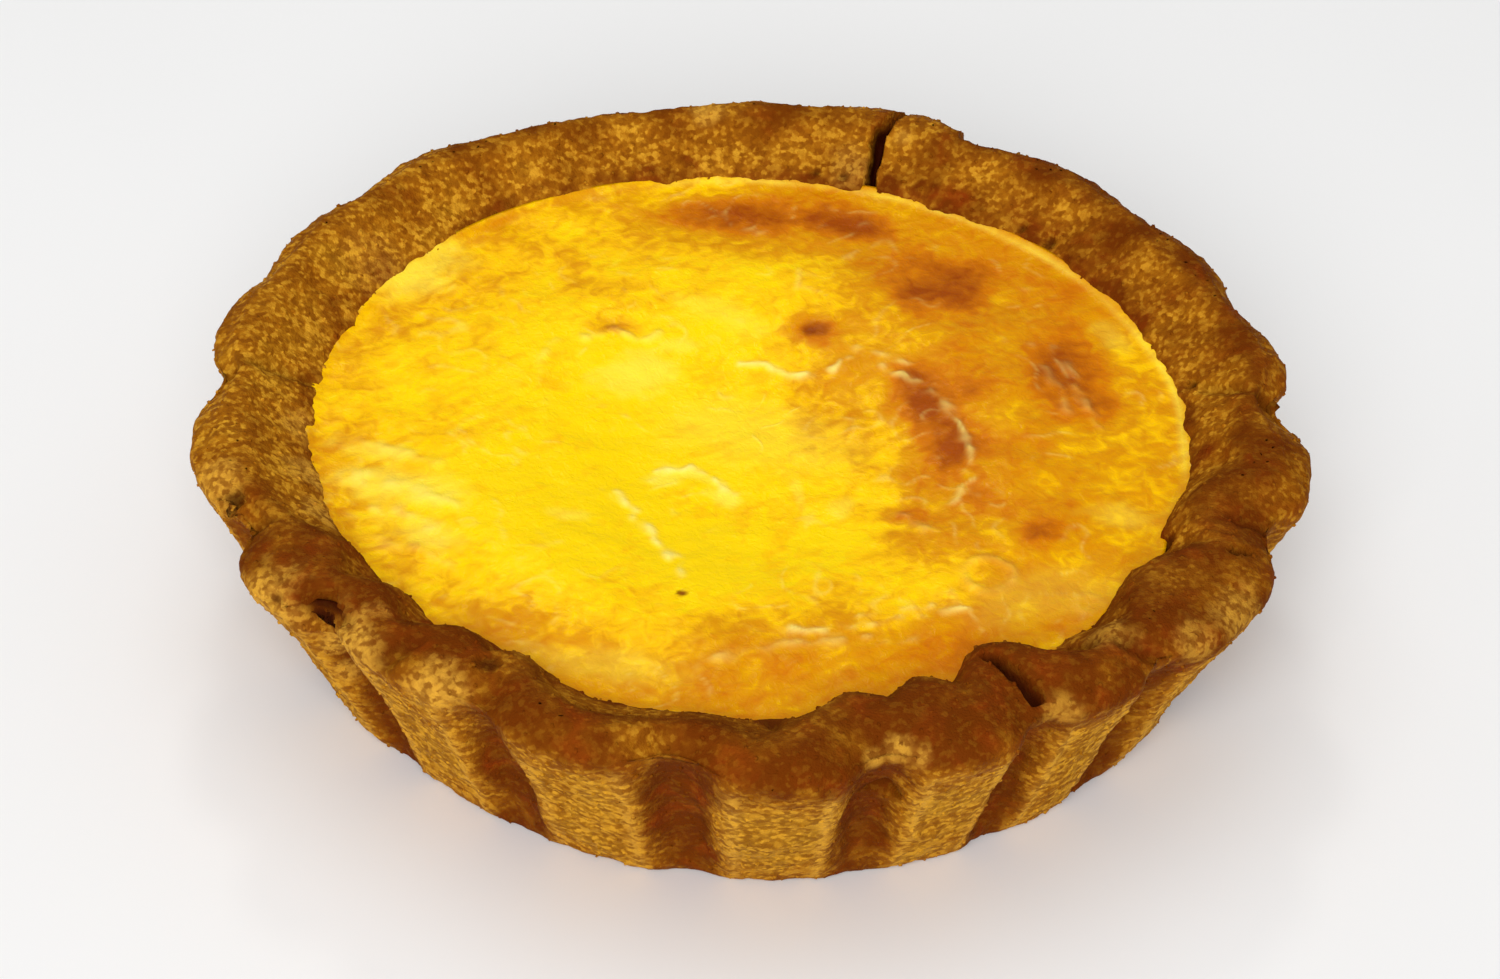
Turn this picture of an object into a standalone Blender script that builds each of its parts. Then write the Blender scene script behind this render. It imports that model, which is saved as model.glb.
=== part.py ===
# Flan tart: a fluted shortcrust case, pressed into a tin by hand, filled with baked egg custard.
# The origin is under the middle of the tart, on its flat base. The deepest folds face -Y.

import math
from collections import namedtuple

import bmesh
import bpy
import numpy as np
from mathutils import Matrix, Vector

MM = 0.001

# Driving dimensions, in millimetres
LIP_RADIUS = 40.0
LIP_HEIGHT = 17.0
CREST_RADIUS = 36.8
CREST_HEIGHT = 18.5
BASE_RADIUS = 33.0
CUSTARD_RADIUS = 31.8
CUSTARD_LEVEL = 14.9
POCKET_RADIUS = 26.0
FLOOR_THICKNESS = 4.0
# How far the base stands to the right of the rim's middle and behind it
BASE_SHIFT = (0.5, 0.9)
# Air between the custard and the case
GAP = 0.3

# How the dough came out of each flute of the tin: the angle of the groove in degrees,
# the notch that it leaves in the rim, and how far the ridge after it bulges, in millimetres
Flute = namedtuple("Flute", "angle notch bulge")
FLUTES = (
    Flute(3.3, 1.8, -0.2),
    Flute(21.0, 0.6, -0.6),
    Flute(42.0, 0.3, -0.1),
    Flute(65.5, 0.4, 0.8),
    Flute(84.0, 0.3, -0.7),
    Flute(103.0, 0.3, -0.8),
    Flute(123.0, 0.3, 0.0),
    Flute(142.5, 0.3, -0.2),
    Flute(161.0, 0.4, 0.1),
    Flute(179.7, 1.5, 0.5),
    Flute(205.3, 2.2, 0.5),
    Flute(223.0, 1.0, -1.1),
    Flute(242.5, 1.0, 0.1),
    Flute(264.0, 2.0, 0.8),
    Flute(284.5, 1.6, 0.2),
    Flute(301.5, 0.9, -0.5),
    Flute(317.0, 0.8, 0.6),
    Flute(342.0, 1.6, 0.4),
)
WALL_GROOVE = 2.2
# Half of a groove's flat bottom, and the width of its side, as shares of the way between grooves
GROOVE_BOTTOM = 0.05
GROOVE_SIDE = 0.2
# Notches in the rim are softer than the grooves below them. The higher the power, the narrower.
NOTCH_SHARPNESS = 3.5
# A notch also sinks the rim's upper side by this share of its depth
NOTCH_SINK = 0.35

# Where a thumb pushed the rim in over the custard: angle, half width in degrees, and depth
Fold = namedtuple("Fold", "angle half_width depth")
FOLDS = (
    Fold(170.0, 7.0, 0.3),
    Fold(193.0, 8.0, 0.4),
    Fold(213.5, 6.0, 2.6),
    Fold(223.0, 4.5, 2.4),
    Fold(236.0, 5.5, 3.1),
    Fold(243.0, 5.0, 3.0),
    Fold(265.0, 5.0, 0.9),
    Fold(283.0, 6.5, 3.3),
    Fold(291.5, 5.5, 4.0),
    Fold(301.5, 7.0, 4.9),
    Fold(316.0, 4.0, 1.6),
    Fold(327.0, 8.5, 3.8),
    Fold(343.0, 8.5, 3.2),
    Fold(357.0, 7.0, 1.4),
)

# A corner of the rim that broke off: its sharp side, how far it fades out, and its depth
CHIP_ANGLE = 66.0
CHIP_WIDTH = 10.0
CHIP_DEPTH = 0.8

# The case in section, from the edge of the flat base up the outer wall, over the rim and down
# into the pocket. After radius and height come the shares that each point takes of the wall's
# grooves, the rim's notches, the ridges' bulge and the thumb folds.
Point = namedtuple("Point", "radius height groove notch bulge fold")
SECTION = (
    Point(BASE_RADIUS - 1.2, 0.0, 0.10, 0.0, 0.0, 0.0),
    Point(BASE_RADIUS - 0.1, 0.6, 0.20, 0.0, 0.2, 0.0),
    Point(BASE_RADIUS + 1.5, 4.2, 0.75, 0.0, 0.4, 0.0),
    Point(BASE_RADIUS + 3.4, 8.8, 1.00, 0.1, 0.7, 0.0),
    Point(LIP_RADIUS - 1.5, 13.3, 0.90, 0.4, 0.9, 0.0),
    Point(LIP_RADIUS - 0.2, LIP_HEIGHT - 1.1, 0.40, 0.8, 1.0, 0.0),
    Point(LIP_RADIUS - 0.1, LIP_HEIGHT + 0.2, 0.10, 1.0, 1.0, 0.1),
    Point(LIP_RADIUS - 1.3, CREST_HEIGHT - 0.5, 0.0, 0.9, 0.9, 0.3),
    Point(CREST_RADIUS + 1.2, CREST_HEIGHT - 0.1, 0.0, 0.6, 0.6, 0.7),
    Point(CREST_RADIUS - 0.1, CREST_HEIGHT - 0.3, 0.0, 0.3, 0.4, 1.0),
    Point(CREST_RADIUS - 1.8, CREST_HEIGHT - 1.5, 0.0, 0.2, 0.3, 0.9),
    Point(CUSTARD_RADIUS + 0.2, CUSTARD_LEVEL, 0.0, 0.1, 0.2, 0.3),
    Point(CUSTARD_RADIUS - 1.2, 12.0, 0.0, 0.0, 0.1, 0.1),
    Point(POCKET_RADIUS + 1.4, 6.4, 0.0, 0.0, 0.0, 0.0),
    Point(POCKET_RADIUS, FLOOR_THICKNESS + 0.3, 0.0, 0.0, 0.0, 0.0),
)
CUSTARD_ROW = 11
# Rings made from each span of the section
STEPS_PER_SPAN = 2

# Where the columns of the case's faces stand between one groove and the next
COLUMN_SHARES = (0.0, 0.1, 0.17, 0.27, 0.42, 0.58, 0.73, 0.83, 0.9)
CUSTARD_COLUMNS = 96
CUSTARD_RINGS = (0.95, 0.88, 0.8, 0.71, 0.62, 0.53, 0.43, 0.33, 0.22, 0.11)

# The custard's skin: a sunken middle, a low swollen ring round it, and an uneven level
SUNK_MIDDLE = (0.5, -3.0)
SUNK_RADIUS = 15.0
SUNK_DEPTH = 0.7
SWELL_WIDTH = 5.5
SWELL_HEIGHT = 0.6

# Cracks in the crust: points as (angle, radius, height), then width and depth
BACK_CRACK = (((74.6, 31.4, 14.8), (75.0, 34.2, 16.8), (74.6, 37.0, 18.2), (72.8, 41.2, 17.6)), 1.0, 2.2)
FRONT_SPLIT = (((299.6, 34.0, 18.4), (300.3, 35.7, 18.4), (301.4, 37.4, 18.1)), 0.9, 1.6)
# Burst bubbles in the wall: angle, radius and height of the middle, and the bubble's radius
BUBBLES = (
    (285.6, 37.4, 13.6, 1.3),
    (222.3, 39.6, 16.6, 0.9),
    (202.0, 39.7, 17.0, 0.7),
)


def smooth_step(t):
    t = np.clip(t, 0.0, 1.0)
    return t * t * (3.0 - 2.0 * t)


def flute_place(angles):
    """For each angle: the groove before it, the groove after it, and how far across it lies."""
    starts = np.array([flute.angle for flute in FLUTES])
    before = (np.searchsorted(starts, angles, side="right") - 1) % len(FLUTES)
    after = (before + 1) % len(FLUTES)
    width = (starts[after] - starts[before]) % 360.0
    across = ((angles - starts[before]) % 360.0) / width
    return before, after, across


def groove(across):
    """1 in the bottom of a groove, 0 on the broad ridge."""
    away = np.minimum(across, 1.0 - across)
    return 1.0 - smooth_step((away - GROOVE_BOTTOM) / GROOVE_SIDE)


def rim_notch(angles):
    before, after, across = flute_place(angles)
    depths = np.array([flute.notch for flute in FLUTES])
    nearest = np.where(across < 0.5, depths[before], depths[after])
    chip_share = ((CHIP_ANGLE - angles) % 360.0) / CHIP_WIDTH
    chip = CHIP_DEPTH * np.clip(1.0 - chip_share, 0.0, 1.0)
    return nearest * np.abs(np.cos(math.pi * across)) ** NOTCH_SHARPNESS + chip


def ridge_bulge(angles):
    """Runs smoothly from the middle of one ridge to the middle of the next."""
    before, after, across = flute_place(angles)
    heights = np.array([flute.bulge for flute in FLUTES])
    first_half = across < 0.5
    start = np.where(first_half, heights[before - 1], heights[before])
    end = np.where(first_half, heights[before], heights[after])
    return start + (end - start) * smooth_step((across + 0.5) % 1.0)


def thumb_fold(angles):
    total = np.zeros_like(angles)
    for fold in FOLDS:
        away = (angles - fold.angle + 180.0) % 360.0 - 180.0
        total = np.maximum(total, fold.depth * np.exp(-((away / fold.half_width) ** 2)))
    return total


def smooth_rows(rows, steps):
    """Catmull-Rom points through the rows, with the given number of steps in each span."""
    rows = np.array(rows, float)
    padded = np.vstack([2 * rows[0] - rows[1], rows, 2 * rows[-1] - rows[-2]])
    points = []
    for i in range(len(rows) - 1):
        a, b, c, d = padded[i : i + 4]
        for t in np.arange(steps) / steps:
            linear = (c - a) * t / 2
            square = (2 * a - 5 * b + 4 * c - d) * t**2 / 2
            cube = (3 * b - a - 3 * c + d) * t**3 / 2
            points.append(b + linear + square + cube)
    points.append(rows[-1])
    return [Point(*point) for point in points]


def middle_at(height):
    """The case leans: where its middle lies at a height."""
    share = 1.0 - height / CREST_HEIGHT
    return BASE_SHIFT[0] * share, BASE_SHIFT[1] * share


def case_ring(point, angles):
    """One point of the section carried round the case, with grooves, notches, bulges and folds."""
    notch = rim_notch(angles)
    radius = point.radius - point.groove * WALL_GROOVE * groove(flute_place(angles)[2])
    radius += point.bulge * ridge_bulge(angles) - point.notch * notch - point.fold * thumb_fold(angles)
    height = point.height - NOTCH_SINK * notch * point.notch * (point.height > LIP_HEIGHT)
    turn = np.radians(angles)
    x, y = middle_at(height)
    return np.stack([x + radius * np.cos(turn), y + radius * np.sin(turn), height], axis=1)


def solid_from_rings(name, rings, start_pole, end_pole):
    """A closed mesh of rings of equal count, with a pole at each end."""
    mesh = bmesh.new()
    first = mesh.verts.new(Vector(start_pole) * MM)
    last = mesh.verts.new(Vector(end_pole) * MM)
    rows = [[mesh.verts.new(Vector(point) * MM) for point in ring] for ring in rings]
    count = len(rows[0])
    for k in range(count):
        after = (k + 1) % count
        mesh.faces.new((first, rows[0][after], rows[0][k]))
        mesh.faces.new((last, rows[-1][k], rows[-1][after]))
        for low, high in zip(rows, rows[1:]):
            mesh.faces.new((low[k], low[after], high[after], high[k]))
    bmesh.ops.recalc_face_normals(mesh, faces=mesh.faces)
    solid = object_from(name, mesh)
    solid.data.shade_smooth()
    return solid


def object_from(name, mesh):
    data = bpy.data.meshes.new(name)
    mesh.to_mesh(data)
    mesh.free()
    result = bpy.data.objects.new(name, data)
    bpy.context.scene.collection.objects.link(result)
    return result


def place(angle, radius, height):
    turn = math.radians(angle)
    return Vector((radius * math.cos(turn), radius * math.sin(turn), height))


def crack_cutter(name, path, width, depth):
    """A V-shaped blade laid along the path, narrower at both ends."""
    mesh = bmesh.new()
    sections = []
    for step, (angle, radius, height) in enumerate(path):
        middle = place(angle, radius, height)
        share = 0.35 if step in (0, len(path) - 1) else 0.5
        side = place(angle + 90.0, width * share, 0.0)
        rise = Vector((0.0, 0.0, depth))
        corners = (middle + rise + side * 2, middle + rise - side * 2, middle - rise)
        sections.append([mesh.verts.new(corner * MM) for corner in corners])
    for one, two in zip(sections, sections[1:]):
        for k in range(3):
            after = (k + 1) % 3
            mesh.faces.new((one[k], one[after], two[after], two[k]))
    mesh.faces.new(sections[0])
    mesh.faces.new(reversed(sections[-1]))
    bmesh.ops.recalc_face_normals(mesh, faces=mesh.faces)
    return object_from(name, mesh)


def bubble_cutter(name, angle, radius, height, size):
    mesh = bmesh.new()
    middle = Matrix.Translation(place(angle, radius, height) * MM)
    bmesh.ops.create_icosphere(mesh, subdivisions=2, radius=size * MM, matrix=middle)
    return object_from(name, mesh)


def cut(target, cutter):
    cutter.hide_render = True
    cutter.display_type = "WIRE"
    boolean = target.modifiers.new(cutter.name, "BOOLEAN")
    boolean.operation = "DIFFERENCE"
    boolean.solver = "EXACT"
    boolean.object = cutter


def custard_height(x, y):
    """The baked skin at a point, in millimetres."""
    away = np.hypot(x - SUNK_MIDDLE[0], y - SUNK_MIDDLE[1])
    sunk = SUNK_DEPTH * (1.0 - smooth_step((away - 0.4 * SUNK_RADIUS) / (0.7 * SUNK_RADIUS)))
    swell = SWELL_HEIGHT * np.exp(-(((away - SUNK_RADIUS - SWELL_WIDTH) / SWELL_WIDTH) ** 2))
    uneven = 0.15 * np.sin(0.11 * x + 0.6) * np.cos(0.13 * y - 0.4)
    return CUSTARD_LEVEL - sunk + swell + uneven


def build_crust():
    starts = [flute.angle for flute in FLUTES]
    ends = starts[1:] + [starts[0] + 360.0]
    angles = np.array([a + (b - a) * share for a, b in zip(starts, ends) for share in COLUMN_SHARES])
    rings = [case_ring(point, angles % 360.0) for point in smooth_rows(SECTION, STEPS_PER_SPAN)]
    floor = (*middle_at(FLOOR_THICKNESS), FLOOR_THICKNESS)
    crust = solid_from_rings("crust", rings, (*middle_at(0.0), 0.0), floor)
    cut(crust, crack_cutter("back_crack", *BACK_CRACK))
    cut(crust, crack_cutter("front_split", *FRONT_SPLIT))
    for number, bubble in enumerate(BUBBLES):
        cut(crust, bubble_cutter(f"bubble_{number}", *bubble))
    return crust


def build_custard():
    """Fills the pocket, a hair clear of it, up to its baked skin."""
    angles = np.arange(CUSTARD_COLUMNS) * 360.0 / CUSTARD_COLUMNS
    pocket = smooth_rows(SECTION, STEPS_PER_SPAN)[CUSTARD_ROW * STEPS_PER_SPAN :][::-1]
    rings = []
    for point in pocket:
        clear = point._replace(radius=point.radius - 1.4 * GAP)
        rings.append(case_ring(clear, angles))
    for ring in rings[:STEPS_PER_SPAN]:
        ring[:, 2] += GAP
    edge = rings[-1]
    edge[:, 2] = custard_height(edge[:, 0], edge[:, 1])
    middle = np.array(middle_at(CUSTARD_LEVEL))
    for share in CUSTARD_RINGS:
        flat = middle + (edge[:, :2] - middle) * share
        height = custard_height(flat[:, 0], flat[:, 1])
        rings.append(np.column_stack([flat, height]))
    underside = (*middle_at(FLOOR_THICKNESS), FLOOR_THICKNESS + GAP)
    return solid_from_rings("custard", rings, underside, (*middle, custard_height(*middle)))


def finish_of(name, colour, roughness):
    material = bpy.data.materials.new(name)
    material.use_nodes = True
    shader = material.node_tree.nodes["Principled BSDF"]
    shader.inputs["Base Color"].default_value = (*colour, 1.0)
    shader.inputs["Roughness"].default_value = roughness
    shader.inputs["Metallic"].default_value = 0.0
    return material


def main():
    for old in list(bpy.data.objects):
        bpy.data.objects.remove(old)
    build_crust().data.materials.append(finish_of("baked_crust", (0.42, 0.19, 0.04), 0.75))
    build_custard().data.materials.append(finish_of("baked_custard", (0.9, 0.55, 0.03), 0.35))


main()
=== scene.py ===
# %% [markdown]
# # A baked flan tart
#
# This lesson dresses a single custard tart: a fluted shortcrust case that was pressed into its tin
# by hand, and a filling of egg custard with a glossy, blistered skin. The tart already exists as
# two plain solids. Here each of them gets a fine mesh, with its crumb, cracks, wrinkles and
# toasted patches, and a material that is built from nodes.

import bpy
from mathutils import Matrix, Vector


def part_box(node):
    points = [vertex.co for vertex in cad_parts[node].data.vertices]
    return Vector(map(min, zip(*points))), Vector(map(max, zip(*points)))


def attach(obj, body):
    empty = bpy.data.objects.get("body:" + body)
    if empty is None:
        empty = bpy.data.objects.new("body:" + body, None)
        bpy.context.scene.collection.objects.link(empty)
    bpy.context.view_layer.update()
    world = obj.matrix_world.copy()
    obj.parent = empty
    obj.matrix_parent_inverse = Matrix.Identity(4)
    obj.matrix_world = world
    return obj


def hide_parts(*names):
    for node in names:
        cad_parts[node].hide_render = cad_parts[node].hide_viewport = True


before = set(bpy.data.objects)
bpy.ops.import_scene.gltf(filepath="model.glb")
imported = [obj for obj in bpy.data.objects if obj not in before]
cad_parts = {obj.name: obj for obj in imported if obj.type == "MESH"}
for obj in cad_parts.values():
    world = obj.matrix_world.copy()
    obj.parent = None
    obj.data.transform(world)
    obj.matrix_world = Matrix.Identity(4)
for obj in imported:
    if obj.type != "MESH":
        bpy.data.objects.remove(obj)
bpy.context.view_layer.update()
print("solids:", sorted(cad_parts))
for name in ("crust", "custard"):
    low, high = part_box(name)
    print(name, "spans in mm", [round((b - a) * 1000, 1) for a, b in zip(low, high)])

# %% Modules and units
import math
from collections import namedtuple

import bmesh
import bpy
import numpy as np
from mathutils import Matrix, Vector, noise

MM = 0.001
print("sizes below are in millimetres, and one is", MM, "of Blender's units")

# %% [markdown]
# ## A few small helpers
#
# Colours are easiest to pick as sRGB hex values, as in any paint program, but the renderer works
# in linear light, so one function turns the first into the second. Node trees are long lists of
# boxes and wires. One helper adds a box, sets it up and wires its inputs, for materials and for
# geometry alike, so that each tree below reads from top to bottom. The others turn a real size into
# a texture's scale, and start a material in the same way each time.

# %% Colour and node helpers
def linear(hex_colour):
    """An sRGB hex value such as "#CC8822" as linear red, green, blue and alpha."""
    channels = [int(hex_colour[i : i + 2], 16) / 255.0 for i in (1, 3, 5)]
    return [c / 12.92 if c <= 0.04045 else ((c + 0.055) / 1.055) ** 2.4 for c in channels] + [1.0]


def add_node(tree, kind, inputs=None, **settings):
    """Adds a node. Each input is a value, or the socket that feeds it, by its name or number."""
    new = tree.nodes.new(kind)
    for name, value in settings.items():
        setattr(new, name, value)
    for key, value in (inputs or {}).items():
        if isinstance(value, bpy.types.NodeSocket):
            tree.links.new(value, new.inputs[key])
        else:
            new.inputs[key].default_value = value
    return new


def scale_for(size):
    """The scale of a texture whose spots are that many millimetres wide."""
    return 1.0 / (size * MM)


def started_material(name, attributes=()):
    """A new material, its tree, its shader, the Object coordinates and the mesh's attributes."""
    material = bpy.data.materials.new(name)
    material.use_nodes = True
    tree = material.node_tree
    place = add_node(tree, "ShaderNodeTexCoord").outputs["Object"]
    value = {}
    for key in attributes:
        value[key] = add_node(tree, "ShaderNodeAttribute", attribute_name=key).outputs["Fac"]
    return material, tree, tree.nodes["Principled BSDF"], place, value


print("golden crust in linear light:", [round(c, 3) for c in linear("#A87414")])

# %% [markdown]
# ## The camera
#
# The tart is seen from in front and above, as it is seen by someone who sits at the table. A long
# lens from 30 cm away keeps the near and the far side of the rim almost the same size. The camera
# is turned a little about its own axis, because the tart stands slightly askew in the picture.

# %% Camera
# Degrees, then millimetres, then the picture's own pixels
CAMERA_ELEVATION = 38.5
CAMERA_ROLL = 2.42
CAMERA_DISTANCE = 300.0
AIM = (0.12, 0.90, 8.5)
PICTURE_WIDTH = 1500.0
FOCAL_LENGTH = 4060.0

camera_data = bpy.data.cameras.new("camera")
camera_data.sensor_width = 36.0
camera_data.lens = camera_data.sensor_width * FOCAL_LENGTH / PICTURE_WIDTH
camera_data.clip_start = 0.01
camera = bpy.data.objects.new("camera", camera_data)
bpy.context.scene.collection.objects.link(camera)
tilt = Matrix.Rotation(math.radians(90.0 - CAMERA_ELEVATION), 4, "X")
roll = Matrix.Rotation(math.radians(CAMERA_ROLL), 4, "Z")
turn = tilt @ roll
aim = Matrix.Translation(Vector(AIM) * MM)
step_back = Matrix.Translation((0, 0, CAMERA_DISTANCE * MM))
camera.matrix_world = aim @ turn @ step_back
bpy.context.scene.camera = camera
camera_place = camera.matrix_world.translation
print("lens", round(camera_data.lens, 1), "mm, camera at", [round(v / MM) for v in camera_place])

# %% [markdown]
# ## Light and floor
#
# The tart stands on a pale sheet. A large soft lamp behind the camera does most of the work, so
# that hardly any shadow shows in front, and one overhead fills in. A small lamp behind the tart is
# mirrored by the shiny skin: its glints are what makes the custard look moist. The Standard view
# keeps the strong egg yellow, which a filmic view would turn pale.

# %% Lamps, room light and view
TART_MIDDLE = Vector((0.0, 0.0, 0.012))


def lamp(name, place, size, power, colour):
    """A round soft lamp at a place in metres that faces the tart."""
    data = bpy.data.lights.new(name, "AREA")
    data.shape = "DISK"
    data.size = size
    data.energy = power
    data.color = linear(colour)[:3]
    lit = bpy.data.objects.new(name, data)
    bpy.context.scene.collection.objects.link(lit)
    towards = TART_MIDDLE - Vector(place)
    facing = towards.to_track_quat("-Z", "Y").to_matrix().to_4x4()
    lit.matrix_world = Matrix.Translation(place) @ facing


lamp("overhead_softbox", (-0.10, 0.04, 0.70), 0.70, 1.3, "#FFFFFF")
lamp("front_softbox", (-0.10, -1.05, 0.72), 0.90, 14.0, "#FFFFFF")
lamp("window_behind", (-0.06, 0.40, 0.50), 0.10, 0.3, "#FFFDF5")

world = bpy.data.worlds.new("soft_room")
world.use_nodes = True
room = world.node_tree.nodes["Background"].inputs
room["Color"].default_value = linear("#FFFFFF")
room["Strength"].default_value = 0.35
bpy.context.scene.world = world
bpy.context.scene.view_settings.view_transform = "Standard"
print(len(bpy.data.lights), "lamps")

# %% Floor
# Uncoated paper: white and matt, with a faint cloudiness that the eye sees only as softness
PAPER_CLOUD = 60.0
paper, paper_tree, paper_shader, paper_place, _ = started_material("uncoated_white_paper")
clouds = add_node(
    paper_tree, "ShaderNodeTexNoise", {"Vector": paper_place, "Scale": scale_for(PAPER_CLOUD)}
)
paper_tone = add_node(
    paper_tree,
    "ShaderNodeMix",
    {0: clouds.outputs["Fac"], 6: linear("#EDEDED"), 7: linear("#F2F2F2")},
    data_type="RGBA",
)
paper_tree.links.new(paper_tone.outputs[2], paper_shader.inputs["Base Color"])
paper_shader.inputs["Roughness"].default_value = 0.8
paper_shader.inputs["Specular IOR Level"].default_value = 0.2

sheet = bmesh.new()
bmesh.ops.create_grid(sheet, x_segments=8, y_segments=8, size=1.6)
floor_mesh = bpy.data.meshes.new("floor")
sheet.to_mesh(floor_mesh)
sheet.free()
floor = bpy.data.objects.new("floor", floor_mesh)
bpy.context.scene.collection.objects.link(floor)
floor.data.materials.append(paper)
print("the floor is", round(floor.dimensions.x, 1), "m wide")

# %% [markdown]
# ## The shape of the case
#
# A real case starts as a sheet of dough that is pressed into a fluted tin. Each flute of the tin
# leaves a broad ridge and a groove beside it, and thumbs push the rim in over the filling, nowhere
# twice alike. It could be sculpted, but it follows a rule: one section, carried round a circle,
# that is pushed in by grooves, notches and folds. So it is worked out from the same sizes as the
# solid, in millimetres, only with far more points.

# %% Sizes of the case
LIP_RADIUS = 40.0
LIP_HEIGHT = 17.0
CREST_RADIUS = 36.8
CREST_HEIGHT = 18.5
BASE_RADIUS = 33.0
CUSTARD_RADIUS = 31.8
CUSTARD_LEVEL = 14.9
POCKET_RADIUS = 26.0
FLOOR_THICKNESS = 4.0
# How far the base lies to the right and to the back of the rim's middle
BASE_SHIFT = (0.5, 0.9)

# The angle of each groove in degrees, its notch in the rim, and how far the ridge after it bulges
Flute = namedtuple("Flute", "angle notch bulge")
FLUTES = [Flute(*row) for row in (
    (3.3, 1.8, -0.2), (21, 0.6, -0.6), (42, 0.3, -0.1), (65.5, 0.4, 0.8), (84, 0.3, -0.7),
    (103, 0.3, -0.8), (123, 0.3, 0), (142.5, 0.3, -0.2), (161, 0.4, 0.1), (179.7, 1.5, 0.5),
    (205.3, 2.2, 0.5), (223, 1, -1.1), (242.5, 1, 0.1), (264, 2, 0.8), (284.5, 1.6, 0.2),
    (301.5, 0.9, -0.5), (317, 0.8, 0.6), (342, 1.6, 0.4),
)]
# How deep the grooves are, and their shape: shares of a flute's width, steepness and sag of a notch
WALL_GROOVE = 2.2
GROOVE_BOTTOM = 0.05
GROOVE_SIDE = 0.2
NOTCH_SHARPNESS = 3.5
NOTCH_SINK = 0.35

# Where a thumb pushed the rim in over the custard: angle, half width in degrees, and depth
Fold = namedtuple("Fold", "angle half_width depth")
FOLDS = [Fold(*row) for row in (
    (170, 7, 0.3), (193, 8, 0.4), (213.5, 6, 2.6), (223, 4.5, 2.4), (236, 5.5, 3.1), (243, 5, 3),
    (265, 5, 0.9), (283, 6.5, 3.3), (291.5, 5.5, 4), (301.5, 7, 4.9), (316, 4, 1.6),
    (327, 8.5, 3.8), (343, 8.5, 3.2), (357, 7, 1.4),
)]
# The chip beside the crack at the back
CHIP_ANGLE = 66.0
CHIP_WIDTH = 10.0
CHIP_DEPTH = 0.8

# The section, from the edge of the base up the wall, over the rim and down into the pocket, and
# the share that each point takes of the grooves, the notches, the bulges and the folds
Point = namedtuple("Point", "radius height groove notch bulge fold")
SECTION = [Point(*row) for row in (
    (BASE_RADIUS - 1.2, 0.0, 0.10, 0.0, 0.0, 0.0),
    (BASE_RADIUS - 0.1, 0.6, 0.20, 0.0, 0.2, 0.0),
    (BASE_RADIUS + 1.5, 4.2, 0.75, 0.0, 0.4, 0.0),
    (BASE_RADIUS + 3.4, 8.8, 1.00, 0.1, 0.7, 0.0),
    (LIP_RADIUS - 1.5, 13.3, 0.90, 0.4, 0.9, 0.0),
    (LIP_RADIUS - 0.2, LIP_HEIGHT - 1.1, 0.40, 0.8, 1.0, 0.0),
    (LIP_RADIUS - 0.1, LIP_HEIGHT + 0.2, 0.10, 1.0, 1.0, 0.1),
    (LIP_RADIUS - 1.3, CREST_HEIGHT - 0.5, 0.0, 0.9, 0.9, 0.3),
    (CREST_RADIUS + 1.2, CREST_HEIGHT - 0.1, 0.0, 0.6, 0.6, 0.7),
    (CREST_RADIUS - 0.1, CREST_HEIGHT - 0.3, 0.0, 0.3, 0.4, 1.0),
    (CREST_RADIUS - 1.8, CREST_HEIGHT - 1.5, 0.0, 0.2, 0.3, 0.9),
    (CUSTARD_RADIUS + 0.2, CUSTARD_LEVEL, 0.0, 0.1, 0.2, 0.3),
    (CUSTARD_RADIUS - 1.2, 12.0, 0.0, 0.0, 0.1, 0.1),
    (POCKET_RADIUS + 1.4, 6.4, 0.0, 0.0, 0.0, 0.0),
    (POCKET_RADIUS, FLOOR_THICKNESS + 0.3, 0.0, 0.0, 0.0, 0.0),
)]
# The point of the section that lies at the custard's level
CUSTARD_ROW = 11
print(len(FLUTES), "flutes,", len(FOLDS), "thumb folds,", 2 * LIP_RADIUS, "mm across the rim")

# %% [markdown]
# Each of these functions turns angles into one kind of dent. They all take whole arrays, because
# numpy works out a hundred thousand points as quickly as Python works out a few.

# %% Grooves, notches, bulges and folds
def smooth_step(t):
    """Runs smoothly from 0 at 0 to 1 at 1, and stays level outside."""
    t = np.clip(t, 0.0, 1.0)
    return t * t * (3.0 - 2.0 * t)


def flute_place(angles):
    """For each angle: the groove before it, the groove after it, and how far across it lies."""
    starts = np.array([flute.angle for flute in FLUTES])
    before = (np.searchsorted(starts, angles, side="right") - 1) % len(FLUTES)
    after = (before + 1) % len(FLUTES)
    width = (starts[after] - starts[before]) % 360.0
    return before, after, ((angles - starts[before]) % 360.0) / width


def groove_distance(angles):
    """How far each angle lies from the nearest groove, as a share of the flute's width."""
    across = flute_place(angles)[2]
    return np.minimum(across, 1.0 - across)


def groove(angles):
    """1 in the bottom of a groove, 0 on the broad ridge."""
    return 1.0 - smooth_step((groove_distance(angles) - GROOVE_BOTTOM) / GROOVE_SIDE)


def rim_notch(angles):
    """How far the rim is cut back, by the notch of the nearest groove and by the chip."""
    before, after, across = flute_place(angles)
    depths = np.array([flute.notch for flute in FLUTES])
    nearest = np.where(across < 0.5, depths[before], depths[after])
    chip = CHIP_DEPTH * np.clip(1.0 - ((CHIP_ANGLE - angles) % 360.0) / CHIP_WIDTH, 0.0, 1.0)
    return nearest * np.abs(np.cos(math.pi * across)) ** NOTCH_SHARPNESS + chip


def ridge_bulge(angles):
    """How far the wall bulges. It changes smoothly from one ridge's middle to the next."""
    before, after, across = flute_place(angles)
    heights = np.array([flute.bulge for flute in FLUTES])
    first_half = across < 0.5
    start = np.where(first_half, heights[before - 1], heights[before])
    end = np.where(first_half, heights[before], heights[after])
    return start + (end - start) * smooth_step((across + 0.5) % 1.0)


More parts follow.
